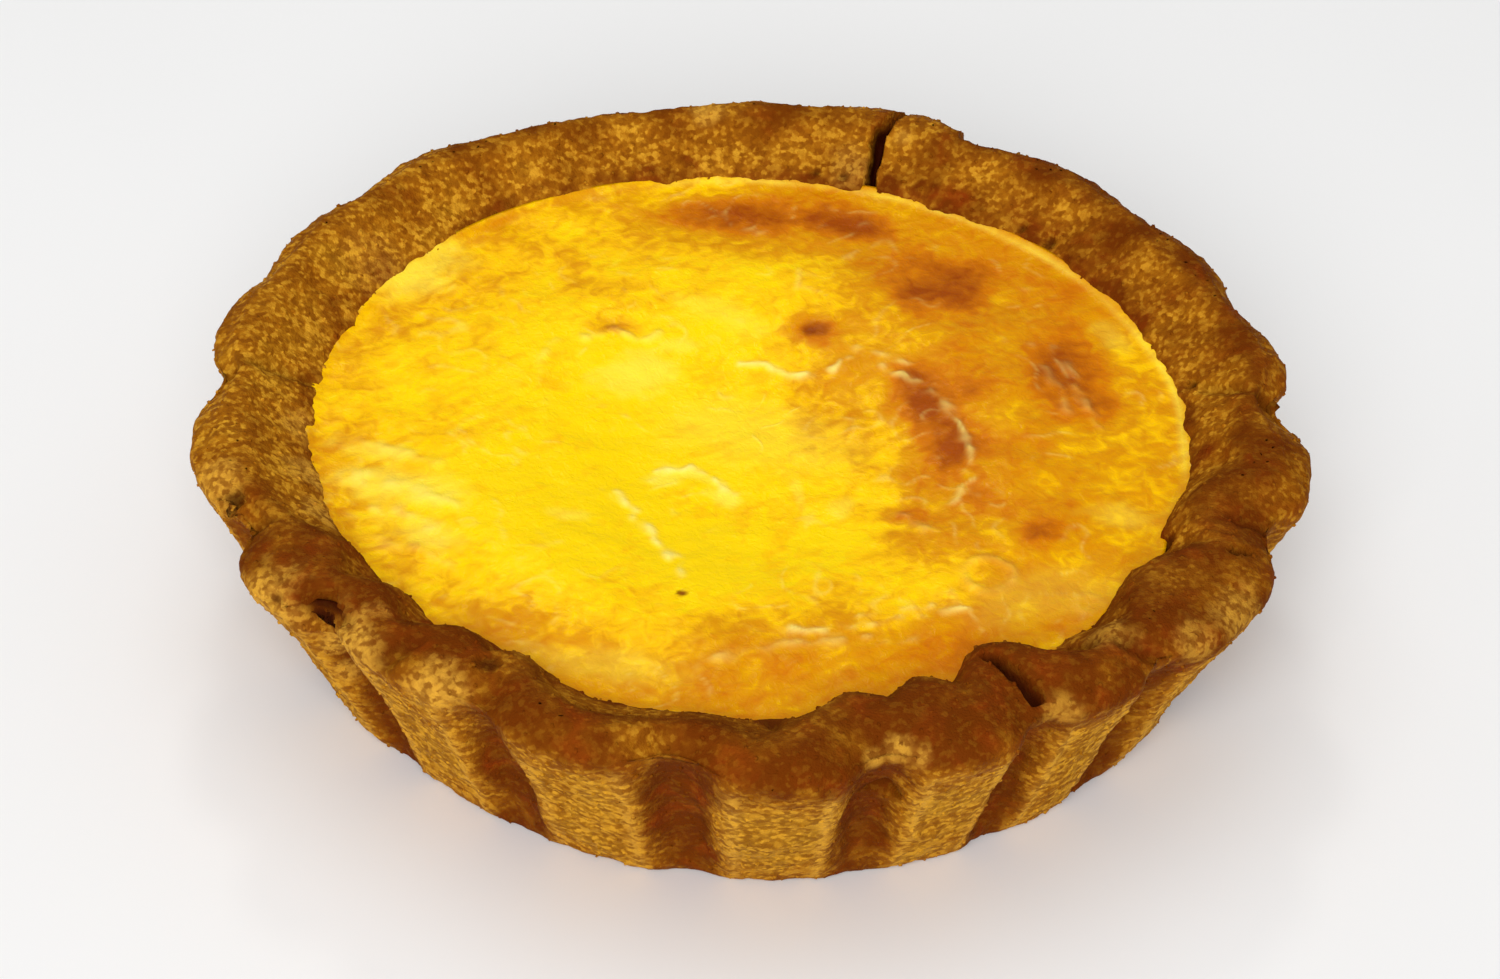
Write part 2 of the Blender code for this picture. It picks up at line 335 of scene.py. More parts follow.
def thumb_fold(angles):
    """How far the thumbs pushed the rim in."""
    total = np.zeros_like(angles)
    for fold in FOLDS:
        away = (angles - fold.angle + 180.0) % 360.0 - 180.0
        total = np.maximum(total, fold.depth * np.exp(-((away / fold.half_width) ** 2)))
    return total


def middle_at(height):
    """The case leans: where its middle lies at a height."""
    share = 1.0 - height / CREST_HEIGHT
    return BASE_SHIFT[0] * share, BASE_SHIFT[1] * share


def case_ring(point, angles):
    """One point of the section carried round the case."""
    notch = rim_notch(angles)
    radius = point.radius - point.groove * WALL_GROOVE * groove(angles)
    radius += point.bulge * ridge_bulge(angles) - point.notch * notch
    radius -= point.fold * thumb_fold(angles)
    height = point.height - NOTCH_SINK * notch * point.notch * (point.height > LIP_HEIGHT)
    x, y = middle_at(height)
    turn = np.radians(angles)
    return np.stack([x + radius * np.cos(turn), y + radius * np.sin(turn), height], axis=1)


print("deepest notch", round(float(rim_notch(np.arange(0.0, 360.0)).max()), 2), "mm")

# %% [markdown]
# ## A fine grid over the case
#
# The grain of shortcrust is about half a millimetre, so the points stand 0.3 mm apart. The section
# is smoothed with a curve through its points and cut into equal steps. Below the custard nobody
# looks, so the steps there are long. Near a crack the columns stand closer, because its edges have
# to be crisp.

# %% Rows and columns of the grid
ROW_STEP = 0.3
HIDDEN_ROW_STEP = 1.6
# The wall of the pocket stays fine this far below the custard's level
HIDDEN_BELOW = 1.8
CURVE_STEPS = 24
COLUMN_COUNT = 820
# Where the columns crowd, how strongly, and over how many degrees to each side
CRACK_ANGLES = (74.5, 301.7, 337.5)
CROWDING = 1.8
CROWDED_WIDTH = 1.6


def smooth_section():
    """Catmull-Rom points through the section, with each point's place between the rows."""
    rows = np.column_stack([np.array(SECTION, float), np.arange(len(SECTION))])
    padded = np.vstack([2 * rows[0] - rows[1], rows, 2 * rows[-1] - rows[-2]])
    points = []
    for i in range(len(rows) - 1):
        a, b, c, d = padded[i : i + 4]
        for t in np.arange(CURVE_STEPS) / CURVE_STEPS:
            square = (2 * a - 5 * b + 4 * c - d) * t**2 / 2
            cube = (3 * b - a - 3 * c + d) * t**3 / 2
            points.append(b + (c - a) * t / 2 + square + cube)
    points.append(rows[-1])
    return np.array(points)


def grid_rows():
    """The section cut into even steps: six values for each row, and its place in the section."""
    fine = smooth_section()
    length = np.concatenate([[0.0], np.cumsum(np.hypot(np.diff(fine[:, 0]), np.diff(fine[:, 1])))])
    hidden_from = np.interp(CUSTARD_ROW, fine[:, 6], length) + HIDDEN_BELOW
    shown = np.arange(0.0, hidden_from, ROW_STEP)
    hidden = np.arange(hidden_from, length[-1], HIDDEN_ROW_STEP)
    stops = np.concatenate([shown, hidden])
    return np.column_stack([np.interp(stops, length, fine[:, k]) for k in range(fine.shape[1])])


def grid_columns():
    """Angles round the case, closer together beside the cracks."""
    fine = np.linspace(0.0, 360.0, 7201)
    crowding = np.ones_like(fine)
    for angle in CRACK_ANGLES:
        crowding += CROWDING * np.exp(-(((fine - angle) / CROWDED_WIDTH) ** 2))
    share = np.concatenate([[0.0], np.cumsum((crowding[1:] + crowding[:-1]) / 2)])
    return np.interp(np.arange(COLUMN_COUNT) / COLUMN_COUNT * share[-1], share, fine)


ROWS = grid_rows()
COLUMNS = grid_columns()
print(len(ROWS), "rows of", len(COLUMNS), "points")

# %% [markdown]
# ## Cracks, creases and burst bubbles
#
# The rim split where it dried fastest, creased where the dough was folded, and steam left small
# holes in the wall. A Boolean could cut them, but its edges are too clean for pastry. Here every
# point of the grid that lies near a crack's path is pushed in along its normal, deepest at the
# path, and a little noise makes the width uneven.

# %% Marks in the crust
# A mark: its path as points of angle, radius and height, its width and depth, and its scorch,
# a darkening that is partly burnt crust and partly painted shade in the mark
Mark = namedtuple("Mark", "path width depth scorch")
CRACKS = [Mark(*row) for row in (
    (((74.9, 31.9, 14.6), (75.3, 34.6, 16.6), (75.3, 36.3, 17.9), (74.4, 38.2, 18.3),
      (73.2, 40.4, 17.2)), 1.15, 2.4, 1),
    (((300.8, 32.4, 18.2), (301.8, 34.6, 18.3), (302.2, 37, 17.7)), 1.1, 1.5, 0.9),
    (((334.6, 37.2, 18.4), (337.2, 38.9, 17.8), (341, 39.6, 16.4)), 0.7, 1, 0.8),
)]
CREASES = [Mark(*row) for row in (
    (((3.3, 39, 16.5), (5, 36, 18), (9.5, 33.4, 16.2)), 1.6, 0.55, 0.25),
    (((342, 39, 16), (341, 36, 17.8), (340.6, 32.2, 15)), 1.6, 0.6, 0.35),
    (((205.3, 39, 16), (206.5, 36.5, 17.6), (209.5, 33, 15.8)), 1.8, 0.6, 0.3),
    (((179.7, 39.4, 16.5), (177.5, 36.5, 18.2), (175.4, 32.6, 15.4)), 1.8, 0.5, 0.25),
    (((232, 38.6, 17.2), (233, 36.3, 18), (232.6, 33.2, 16.2)), 1.8, 0.7, 0.3),
    (((317.5, 39.2, 16.8), (314.5, 36.6, 18.2), (311.5, 33.4, 16.4)), 1.7, 0.6, 0.3),
    (((274, 35.4, 17.8), (273.6, 33.2, 16)), 1.6, 0.5, 0.2),
    (((212, 38.9, 17.4), (218, 38.4, 17.5), (225, 37.6, 17.6)), 1.5, 0.5, 0.2),
)]
# The sides of a crack are steep, those of a crease run out softly
CRACK_STEEPNESS = 0.6
CREASE_STEEPNESS = 1.6
# How much the widths vary, and over how many millimetres
WIDTH_CHANGE = 0.35
WIDTH_CHANGE_SIZE = 1.3
# Burst bubbles and pits: angle, radius and height of the middle, size across, depth and scorch,
# which is partly painted shade in the pit
Pit = namedtuple("Pit", "angle radius height size depth scorch")
PITS = [Pit(*row) for row in (
    (286, 35.5, 11.9, 2.6, 1.2, 0.9), (221.4, 38.5, 16.9, 4.2, 1.7, 0.95),
    (200.7, 38.6, 17.2, 2.4, 0.9, 0.8), (217, 40, 17.2, 1.3, 0.6, 0.6),
    (241.5, 34.9, 18.2, 2, 0.4, 0.7), (337.6, 31.9, 15.4, 2.2, 0.4, 0.7),
    (11.5, 33, 15.8, 1.2, 0.5, 0.8), (263.5, 37.2, 12.6, 1.4, 0.4, 0.5),
    (52, 33, 15.6, 1, 0.4, 0.7), (47.5, 33, 15.6, 1.1, 0.4, 0.7), (78.6, 32.9, 15.5, 0.9, 0.3, 0.7),
    (82.5, 32.9, 15.5, 0.9, 0.3, 0.7),
)]


def at(angle, radius, height):
    """The point with this angle, radius and height."""
    turn = math.radians(angle)
    return np.array([radius * math.cos(turn), radius * math.sin(turn), height])


def distance_to_path(points, path):
    """How far each point lies from a line through the path's points."""
    nearest = np.full(len(points), np.inf)
    for start, end in zip(path, path[1:]):
        along = end - start
        share = np.clip((points - start) @ along / (along @ along), 0.0, 1.0)
        nearest = np.minimum(nearest, np.linalg.norm(points - start - share[:, None] * along, axis=1))
    return nearest


def uneven(points, size, seed):
    """Smooth noise between -1 and 1, with spots of that size in millimetres."""
    places = points / size + seed * 17.3
    return np.array([noise.noise(Vector(place)) for place in places])


print(len(CRACKS), "cracks,", len(CREASES), "creases,", len(PITS), "pits")

# %% Points of the case, pushed in by the marks
def grid_normals(grid):
    """Outward normals of a closed grid of rows by columns by three."""
    round_it = np.roll(grid, -1, axis=1) - np.roll(grid, 1, axis=1)
    up_it = np.gradient(grid, axis=0)
    normals = np.cross(round_it, up_it)
    return normals / np.maximum(np.linalg.norm(normals, axis=2, keepdims=True), 1e-9)


def case_points():
    """The case's points with the marks pushed in, and the scorch and painted shade of the marks on
    each.
    """
    grid = np.stack([case_ring(Point(*row[:6]), COLUMNS) for row in ROWS])
    flat = grid.reshape(-1, 3)
    half = 0.5 * (1.0 + WIDTH_CHANGE * uneven(flat, WIDTH_CHANGE_SIZE, 1))
    sunk = np.zeros(len(flat))
    scorch = np.zeros(len(flat))
    for marks, steepness in ((CRACKS, CRACK_STEEPNESS), (CREASES, CREASE_STEEPNESS)):
        for mark in marks:
            path = [at(*place) for place in mark.path]
            away = distance_to_path(flat, path) / (mark.width * half)
            sunk = np.maximum(sunk, mark.depth * np.clip(1.0 - away, 0.0, 1.0) ** steepness)
            scorch = np.maximum(scorch, mark.scorch * (1.0 - smooth_step((away - 0.45) / 0.6)))
    for pit in PITS:
        away = np.linalg.norm(flat - at(*pit[:3]), axis=1) / (pit.size * half)
        sunk = np.maximum(sunk, pit.depth * np.sqrt(np.clip(1.0 - away**2, 0.0, 1.0)))
        scorch = np.maximum(scorch, pit.scorch * (1.0 - smooth_step((away - 0.3) / 0.7)))
    return flat - grid_normals(grid).reshape(-1, 3) * sunk[:, None], scorch


CASE_POINTS, CASE_SCORCH_AND_SHADE = case_points()
print("points in the case:", len(CASE_POINTS))

# %% [markdown]
# ## How brown is it, and where
#
# Pastry browns where it is thin and stands out into the hot air: the rim is darkest. The broad
# ridges that touched the tin stay golden, and the grooves between them are darker: partly browner
# crust, partly painted shade. Three values, from 0 to about 1, are stored on every point: browning,
# which also holds the painted shade in the grooves and the painted shadow line along the custard,
# blond for dough that stayed pale, and scorch for the burnt insides of cracks, creases and pits,
# which is partly painted shade in them too. The material mixes its colours by them.

# %% Browning, blond and scorch
# Browning of the rim by angle, of the wall by its place in the section, and a shift for the rim
# by the same place: at the lip, over the crest, and down to the custard. The dark step at the
# custard's level (row 11) is a painted shadow line along the seam between crust and custard.
RIM_BROWNING = (
    (0, 0.56), (25, 0.68), (50, 0.74), (75, 0.60), (120, 0.54), (155, 0.44), (180, 0.38),
    (200, 0.50), (212, 0.80), (232, 0.82), (262, 0.74), (285, 0.94), (335, 0.80), (360, 0.56),
)
WALL_BROWNING = ((0, 0.62), (1, 0.46), (2, 0.26), (3, 0.16), (4, 0.22), (5, 0.58), (6, 0.80))
RIM_SHIFT_AND_SEAM_SHADE = (
    (5, 0.0), (6, 0.12), (7.5, 0.16), (9, 0.14), (10, -0.06), (10.7, 0.02), (11, 0.35), (14, 0.0),
)
# How dark the grooves are: partly browner crust, partly painted shade in the grooves
GROOVE_BROWNING_AND_SHADE = 1.05
# A groove's brown and painted shade reach beyond it by this share of the flute's width
GROOVE_SPREAD = 0.25
# The rim's brown begins at this place in the section, and is complete so much further on
RIM_STARTS = 3.4
RIM_BLENDS = 2.6
# Its border wanders and frays: how far, and over how many millimetres
BORDER_WANDER, WANDER_SIZE = 0.95, 2.6
BORDER_FRAY, FRAY_SIZE = 0.45, 0.9
# Pale dough on the wall's ridges, and on the shoulders of its grooves
RIDGE_BLOND = 0.14
SHOULDER_BLOND = 0.75
SHOULDER_WIDTH = 0.035
# Patches where the dough stayed pale: angle, radius, height, size across and strength
Patch = namedtuple("Patch", "angle radius height size strength")
BLOND_PATCHES = [Patch(*row) for row in (
    (96.7, 37.1, 18.4, 4, 0.75), (78, 33.6, 16, 4, 0.55), (72.2, 36.4, 17.8, 1.6, 0.6),
    (185, 32.6, 15.6, 4, 0.65), (195, 32.4, 15.6, 4.5, 0.8), (204, 32.6, 15.8, 4, 0.85),
    (198, 39.2, 17.2, 5, 0.7), (216, 40.3, 16, 7, 0.85), (221, 36.4, 13.4, 3.4, 0.8),
    (219.8, 35.7, 9.8, 3, 0.6), (227, 38.4, 16.6, 6, 0.85), (238.5, 38.9, 16.6, 5.5, 0.85),
    (314.6, 35, 17.8, 4, 0.5), (328, 40.2, 17.2, 5, 0.6), (321, 39.8, 17, 4, 0.5),
    (304, 38.8, 17.2, 3.4, 0.5), (286.3, 37.9, 17.1, 2.2, 0.7), (283.4, 38.4, 16.8, 1.6, 0.6),
    (288.4, 38.8, 16.8, 1.6, 0.6), (150, 33.6, 16.2, 6, 0.3),
)]


def browning_and_shade_of(points, angles, rows):
    """How brown each point is, with painted shade in the grooves and along the custard, from its
    angle and its place in the section.
    """
    wander = BORDER_WANDER * uneven(points, WANDER_SIZE, 9)
    rows = rows + wander + BORDER_FRAY * uneven(points, FRAY_SIZE, 10)
    rim = np.interp(angles, *zip(*RIM_BROWNING)) + np.interp(rows, *zip(*RIM_SHIFT_AND_SEAM_SHADE))
    wall = np.interp(rows, *zip(*WALL_BROWNING))
    # The brown and painted shade of a groove end below the lip
    spread = 1.0 - smooth_step((groove_distance(angles) - 0.07) / GROOVE_SPREAD)
    wall += (GROOVE_BROWNING_AND_SHADE - wall) * spread * smooth_step((6.2 - rows) / 1.5)
    return wall + (rim - wall) * smooth_step((rows - RIM_STARTS) / RIM_BLENDS)


def blond_of(points, angles, rows):
    """How pale each point stayed: in the patches, on the ridges and on the shoulders of grooves."""
    ragged = 1.0 + 0.5 * uneven(points, 1.6, 2) + 0.25 * uneven(points, 0.6, 3)
    blond = np.zeros(len(points))
    for patch in BLOND_PATCHES:
        away = np.linalg.norm(points - at(*patch[:3]), axis=1) / (0.5 * patch.size * ragged)
        blond = np.maximum(blond, patch.strength * (1.0 - smooth_step((away - 0.4) / 0.8)))
    away = groove_distance(angles)
    shoulder = np.exp(-(((away - GROOVE_BOTTOM - 1.1 * GROOVE_SIDE) / SHOULDER_WIDTH) ** 2))
    on_wall = smooth_step(rows / 0.8) * smooth_step((5.2 - rows) / 1.2)
    wall = RIDGE_BLOND * (away > GROOVE_SIDE) + SHOULDER_BLOND * shoulder * np.clip(ragged, 0.3, 1.0)
    return np.maximum(blond, on_wall * wall)


CASE_ANGLES = np.tile(COLUMNS, len(ROWS))
CASE_ROWS = np.repeat(ROWS[:, 6], len(COLUMNS))
CASE_BROWNING_AND_SHADE = browning_and_shade_of(CASE_POINTS, CASE_ANGLES, CASE_ROWS)
CASE_BLOND = blond_of(CASE_POINTS, CASE_ANGLES, CASE_ROWS)
print("mean browning", round(float(CASE_BROWNING_AND_SHADE.mean()), 2))
print("mean blond", round(float(CASE_BLOND.mean()), 2))

# %% [markdown]
# ## From points to a mesh
#
# Rows of equal length are joined into quads, and a fan of triangles closes each end. That makes a
# watertight skin. The values worked out above go onto the mesh as named attributes, where both
# Geometry Nodes and materials can read them.

# %% Mesh from rows of points
def mesh_from_rows(name, points, row_length, start_pole, end_pole, attributes):
    """A closed object of equal rows, with a pole at each end, and its attributes."""
    row_count = len(points) // row_length
    here = np.arange(row_length)
    after = (here + 1) % row_length
    faces = []
    for row in range(row_count - 1):
        low, high = row * row_length, (row + 1) * row_length
        faces += np.column_stack([low + here, low + after, high + after, high + here]).tolist()
    first, last = len(points), len(points) + 1
    top = (row_count - 1) * row_length
    faces += np.column_stack([np.full(row_length, first), after, here]).tolist()
    faces += np.column_stack([np.full(row_length, last), top + here, top + after]).tolist()
    data = bpy.data.meshes.new(name)
    data.from_pydata((np.vstack([points, start_pole, end_pole]) * MM).tolist(), [], faces)
    for key, values in attributes.items():
        stored = data.attributes.new(key, "FLOAT", "POINT")
        with_poles = np.append(values, [values[0], values[-1]])
        stored.data.foreach_set("value", with_poles.astype(np.float32))
    result = bpy.data.objects.new(name, data)
    bpy.context.scene.collection.objects.link(result)
    data.shade_smooth()
    return result


# Crumb shows where the crust shows: not on the flat base, nor under the custard
CASE_CRUMB = smooth_step(CASE_ROWS / 0.5) * smooth_step((CUSTARD_ROW + 0.9 - CASE_ROWS) / 0.5)
case_blank = mesh_from_rows(
    "case_blank",
    CASE_POINTS,
    len(COLUMNS),
    (*middle_at(0.0), 0.0),
    (*middle_at(FLOOR_THICKNESS), FLOOR_THICKNESS),
    {"browning": CASE_BROWNING_AND_SHADE, "blond": CASE_BLOND, "scorch": CASE_SCORCH_AND_SHADE, "crumb": CASE_CRUMB},
)
print("case:", len(case_blank.data.polygons), "faces")

# %% [markdown]
# ## Crumb, with Geometry Nodes
#
# Baked shortcrust is never smooth: fingers left shallow lumps, and fat and flour make a sandy
# crumb. A Displace modifier could do one scale at a time. A small Geometry Nodes tree does all
# three at once: each noise moves the points along their normals, by a height that is a named input
# of the tree, and the crumb attribute keeps the hidden faces still.

# %% The relief tree
def add_input(tree, name, kind, default):
    """Gives the tree a named input, and returns the socket's identifier."""
    socket = tree.interface.new_socket(name, in_out="INPUT", socket_type=kind)
    if default is not None:
        socket.default_value = default
    return socket.identifier


def relief_inputs(layers):
    """The inputs of a relief tree: the size and height of each layer, in metres."""
    inputs = {}
    for layer, size, height in layers:
        inputs[layer + " Size"] = size * MM
        inputs[layer + " Height"] = height * MM
    return inputs


def started_tree(name, inputs, seed_kind, seed):
    """A new geometry tree with named inputs: the tree, their identifiers and their sockets."""
    tree = bpy.data.node_groups.new(name, "GeometryNodeTree")
    tree.interface.new_socket("Geometry", in_out="OUTPUT", socket_type="NodeSocketGeometry")
    sockets = {"Geometry": add_input(tree, "Geometry", "NodeSocketGeometry", None)}
    for key, metres in inputs.items():
        sockets[key] = add_input(tree, key, "NodeSocketFloat", metres)
    sockets["Seed"] = add_input(tree, "Seed", seed_kind, seed)
    return tree, sockets, add_node(tree, "NodeGroupInput").outputs


def finish_tree(tree, geometry, material):
    """Ends a tree with real faces and a material, because the export drops instances."""
    real = add_node(tree, "GeometryNodeRealizeInstances", {"Geometry": geometry})
    soft = add_node(tree, "GeometryNodeSetShadeSmooth", {"Geometry": real.outputs[0]})
    painted = add_node(
        tree, "GeometryNodeSetMaterial", {"Geometry": soft.outputs[0], "Material": material}
    )
    add_node(tree, "NodeGroupOutput", {"Geometry": painted.outputs[0]})


def relief_tree(name, layers, attribute, seed, material):
    """Moves points along their normals by noise, in layers given as name, size and height in mm."""
    tree, sockets, given = started_tree(name, relief_inputs(layers), "NodeSocketFloat", seed)
    total = 0.0
    for layer, _, _ in layers:
        per_size = add_node(
            tree, "ShaderNodeMath", {0: 1.0, 1: given[layer + " Size"]}, operation="DIVIDE"
        )
        wave = add_node(
            tree,
            "ShaderNodeTexNoise",
            {"Scale": per_size.outputs[0], "W": given["Seed"], "Detail": 1.5},
            noise_dimensions="4D",
        )
        centred = add_node(
            tree, "ShaderNodeMath", {0: wave.outputs["Fac"], 1: 0.5}, operation="SUBTRACT"
        )
        total = add_node(
            tree,
            "ShaderNodeMath",
            {0: centred.outputs[0], 1: given[layer + " Height"], 2: total},
            operation="MULTIPLY_ADD",
        ).outputs[0]
    keep = add_node(
        tree, "GeometryNodeInputNamedAttribute", {"Name": attribute}, data_type="FLOAT"
    )
    masked = add_node(tree, "ShaderNodeMath", {0: total, 1: keep.outputs[0]}, operation="MULTIPLY")
    normal = add_node(tree, "GeometryNodeInputNormal")
    push = add_node(
        tree,
        "ShaderNodeVectorMath",
        {0: normal.outputs[0], "Scale": masked.outputs[0]},
        operation="SCALE",
    )
    moved = add_node(
        tree, "GeometryNodeSetPosition", {"Geometry": given["Geometry"], "Offset": push.outputs[0]}
    )
    finish_tree(tree, moved.outputs[0], material)
    return tree, sockets


def grown(source, name, tree, sockets, values):
    """Runs a tree on an object with these inputs, and returns the result as a plain mesh object."""
    modifier = source.modifiers.new(name, "NODES")
    modifier.node_group = tree
    for key, value in values.items():
        modifier[sockets[key]] = value
    graph = bpy.context.evaluated_depsgraph_get()
    data = bpy.data.meshes.new_from_object(source.evaluated_get(graph), depsgraph=graph)
    data.name = name
    source.modifiers.remove(modifier)
    result = bpy.data.objects.new(name, data)
    bpy.context.scene.collection.objects.link(result)
    return result


def keep_inside(piece, node):
    """Trims the few crumbs that would stand out of the solid's box."""
    low, high = (np.array(corner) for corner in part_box(node))
    places = np.empty(len(piece.data.vertices) * 3, np.float32)
    piece.data.vertices.foreach_get("co", places)
    inside = np.clip(places.reshape(-1, 3), low, high)
    piece.data.vertices.foreach_set("co", inside.astype(np.float32).ravel())
    piece.data.update()


print("a relief layer has the inputs", list(relief_inputs((("Lump", 6.5, 1.1),))))

# %% [markdown]
# ## Baked shortcrust
#
# Flour, butter and egg, rolled out and baked at about 190 degrees: dry, matt and sandy, with no
# gloss but a faint greasy sheen. Its colour runs from pale dough through gold to a brown that is
# almost red. The eye reads it as pastry because every grain is a little lighter or darker than the
# next. A Voronoi texture divides space into cells of a third of a millimetre, each with a chance
# value of its own, and a fine noise bends their edges, so that no cell looks like a tile.

# %% Crust material
# Sizes in millimetres: one grain of the crumb, and the patches where it baked browner or redder
CRUMB_SIZE = 0.36
BAKE_PATCH = 4.2
RED_PATCH = 3.1
GOLDEN = "#A87414"
BROWN = "#A0620C"
DARK = "#682E02"
SPECK = "#D89C28"
BLOND = "#D09834"
RUDDY = "#8C3606"
# Scorch in cracks, creases and pits: partly burnt crust, partly painted shade in them
CHAR_AND_SHADE = "#300A00"


def baked_shortcrust():
    """Dry, matt and sandy, in every tone from pale dough to brown."""
    material, tree, shader, place, value = started_material(
        "baked_shortcrust", ("browning", "blond", "scorch")
    )
    # Cloudy patches, others where sugar and butter turn the brown red, a noise that bends the
    # grains, and their roughness
    patches, reds, bends, fine = (
        add_node(
            tree,
            "ShaderNodeTexNoise",
            {"Vector": place, "Scale": scale_for(size), "Detail": detail, "Distortion": distortion},
        ).outputs
        for size, detail, distortion in (
            (BAKE_PATCH, 4.0, 0.0),
            (RED_PATCH, 3.0, 0.6),
            (0.8 * CRUMB_SIZE, 2.0, 0.0),
            (0.5 * CRUMB_SIZE, 2.0, 0.0),
        )
    )
    # Each cell of the bent Voronoi texture is a grain, with its own chance value
    bent = add_node(
        tree,
        "ShaderNodeVectorMath",
        {0: bends["Color"], 1: (CRUMB_SIZE * MM,) * 3, 2: place},
        operation="MULTIPLY_ADD",
    )
    grains = add_node(
        tree,
        "ShaderNodeTexVoronoi",
        {"Vector": bent.outputs[0], "Scale": scale_for(CRUMB_SIZE), "Smoothness": 0.8},
        feature="SMOOTH_F1",
    )
    chance = add_node(tree, "ShaderNodeSeparateColor", {"Color": grains.outputs["Color"]}).outputs[0]
    # Each share runs from start to end while its texture runs from low to high
    share = {}
    for key, texture, low, high, start, end in (
        ("shift", patches["Fac"], 0.25, 0.75, -0.32, 0.32),
        ("rough", patches["Fac"], 0.3, 0.7, 0.6, 0.85),
        ("red", reds["Fac"], 0.5, 0.75, 0.0, 0.7),
        ("pale grain", chance, 0.2, 0.7, 0.55, 1.1),
        ("light grain", chance, 0.46, 0.86, 0.0, 0.8),
        ("dark grain", chance, 0.45, 0.1, 0.0, 0.5),
    ):
        reach = {"Value": texture, 1: low, 2: high, 3: start, 4: end}
        share[key] = add_node(tree, "ShaderNodeMapRange", reach).outputs[0]
    # The patches shift the browning and painted shade that the shape gave
    baked = add_node(
        tree, "ShaderNodeMath", {0: value["browning"], 1: share["shift"]}, operation="ADD"
    ).outputs[0]
    # Golden to brown in the first half of the browning, brown to dark in the second, and fewer
    # light grains where the crust is dark
    for key, low, high, start, end in (
        ("first half", 0.0, 0.5, 0.0, 1.0),
        ("second half", 0.5, 1.0, 0.0, 1.0),
        ("fewer", 0.4, 0.9, 1.0, 0.1),
    ):
        reach = {"Value": baked, 1: low, 2: high, 3: start, 4: end}
        share[key] = add_node(tree, "ShaderNodeMapRange", reach).outputs[0]
    for key, one, other in (
        ("ruddy", share["red"], share["second half"]),
        ("blond", value["blond"], share["pale grain"]),
        ("speck", share["light grain"], share["fewer"]),
    ):
        both = add_node(tree, "ShaderNodeMath", {0: one, 1: other}, operation="MULTIPLY")
        share[key] = both.outputs[0]
    # The colours lie over one another in this order
    tone = linear(GOLDEN)
    for cover, colour in (
        (share["first half"], BROWN),
        (share["second half"], DARK),
        (share["ruddy"], RUDDY),
        (share["blond"], BLOND),
        (share["speck"], SPECK),
        (share["dark grain"], DARK),
        (value["scorch"], CHAR_AND_SHADE),
    ):
        coat = {0: cover, 6: tone, 7: linear(colour)}
        tone = add_node(tree, "ShaderNodeMix", coat, data_type="RGBA").outputs[2]
    tree.links.new(tone, shader.inputs["Base Color"])
    tree.links.new(share["rough"], shader.inputs["Roughness"])
    shader.inputs["Specular IOR Level"].default_value = 0.03
    bump = add_node(
        tree, "ShaderNodeBump", {"Height": fine["Fac"], "Strength": 0.5, "Distance": 0.25 * MM}
    )
    tree.links.new(bump.outputs[0], shader.inputs["Normal"])
    return material


shortcrust = baked_shortcrust()
print("crust material:", len(shortcrust.node_tree.nodes), "nodes")

# %% Grow the crumb on the case
def triangles_in(piece):
    """How many triangles the export will make of a piece."""
    return sum(len(face.vertices) - 2 for face in piece.data.polygons)


# Name, size and height of each layer in millimetres
CRUST_LAYERS = (("Lump", 6.5, 1.1), ("Crumb", 1.7, 0.5), ("Grain", 0.7, 0.28))
crust_tree, crust_sockets = relief_tree("crumb_relief", CRUST_LAYERS, "crumb", 4.0, shortcrust)
pastry_case = grown(
    case_blank, "pastry_case", crust_tree, crust_sockets, relief_inputs(CRUST_LAYERS)
)
bpy.data.objects.remove(case_blank)
keep_inside(pastry_case, "crust")
print("case with crumb:", triangles_in(pastry_case), "triangles")

# %% [markdown]
# ## Loose grains
#
# Here and there a grain of pastry stands free of the surface, and catches the light. Thousands of
# them could be a particle system, but particles do not export. Geometry Nodes scatter points over
# the case, no two closer than a set distance, put a low-sided ball at each, sunk in a little, and
# turn all of them into one mesh. The grains inherit the browning of the spot where they stand.

# %% The scatter tree
GRAIN_INPUTS = {"Grain Size": 0.55 * MM, "Spacing": 0.85 * MM, "Sunk": 0.08 * MM}
# The most grains on a square metre, before those that stand too close are dropped
GRAIN_DENSITY = 1.3e6
# The flattest and the thickest grain, as shares of the size in its three directions
GRAIN_SCALES = ((0.5, 0.4, 0.35), (1.25, 1.0, 0.7))
ANY_TURN = ((0.0, 0.0, 0.0), (math.tau, math.tau, math.tau))


